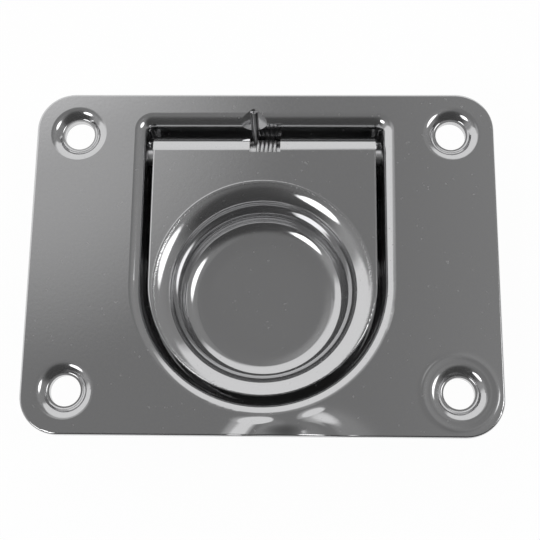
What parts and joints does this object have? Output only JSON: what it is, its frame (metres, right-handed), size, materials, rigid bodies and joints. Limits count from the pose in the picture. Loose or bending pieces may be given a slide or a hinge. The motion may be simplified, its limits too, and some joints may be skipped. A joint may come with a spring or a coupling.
{
  "type": "recessed pull handle",
  "caption": "Flush-mounted stamped pull handle: a D-shaped pan in a rectangular screw-down flange, with a spring-returned lift ring on a pin hinge.",
  "frame": {"origin": "centre of the flange's underside, the plane that lies on the panel, midway between the four screw holes", "axes": "+Z out of the panel towards the hand, +X across the plate's long side, +Y towards the hinge"},
  "size_m": [0.076, 0.057, 0.0119],
  "materials": {
    "plate_steel": "mirror-polished stainless sheet",
    "ring_steel": "mirror-polished stainless sheet",
    "pin_steel": "drawn stainless wire",
    "spring_steel": "bright drawn spring wire"
  },
  "bodies": {
    "base": {"base_plate": "plate_steel", "hinge_pin": "pin_steel", "torsion_spring": "spring_steel"},
    "ring": {"lift_ring": "ring_steel"}
  },
  "joints": [
    {"name": "ring_hinge", "type": "hinge", "parent": "base", "child": "ring", "pos_m": [0, 0.0186, -0.0023], "axis": [-1, 0, 0], "range_deg": [0, 90], "stiffness_Nm_per_rad": 0.02, "springref_deg": -60.16, "deforming": ["torsion_spring"]}
  ]
}
